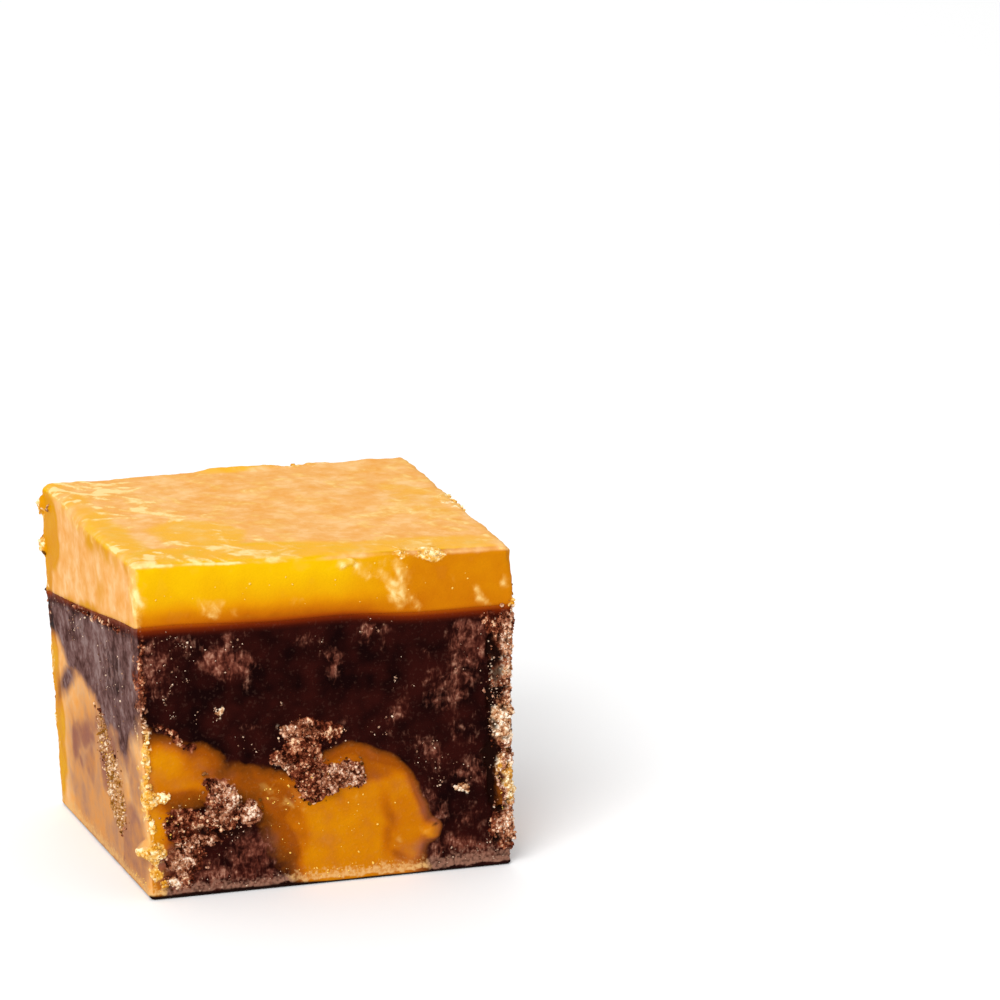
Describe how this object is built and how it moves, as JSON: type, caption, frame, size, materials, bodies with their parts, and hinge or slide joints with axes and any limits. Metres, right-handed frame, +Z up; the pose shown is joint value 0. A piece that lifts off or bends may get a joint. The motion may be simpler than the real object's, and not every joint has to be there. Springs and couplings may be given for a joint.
{
  "type": "fudge cube",
  "caption": "Hand-cut cube of layered fudge: a clean orange layer on a chocolate layer marbled with orange, with torn edges and crumbs.",
  "frame": {"origin": "centre of the footprint, on the surface the cube stands on", "axes": "+Z up, +X along the cut front, whose face looks along -Y; the leaning left side looks along -X"},
  "size_m": [0.0321, 0.0286, 0.0274],
  "materials": {
    "orange_fudge": "smooth, waxy golden orange fudge, satin on the cut face and paler where it was smeared",
    "marbled_chocolate_fudge": "near-black chocolate fudge marbled with amber orange, glossy where cut, grainy brown where crumbly"
  },
  "bodies": {
    "root": {"orange_layer": "orange_fudge", "swirled_layer": "marbled_chocolate_fudge"}
  },
  "joints": []
}
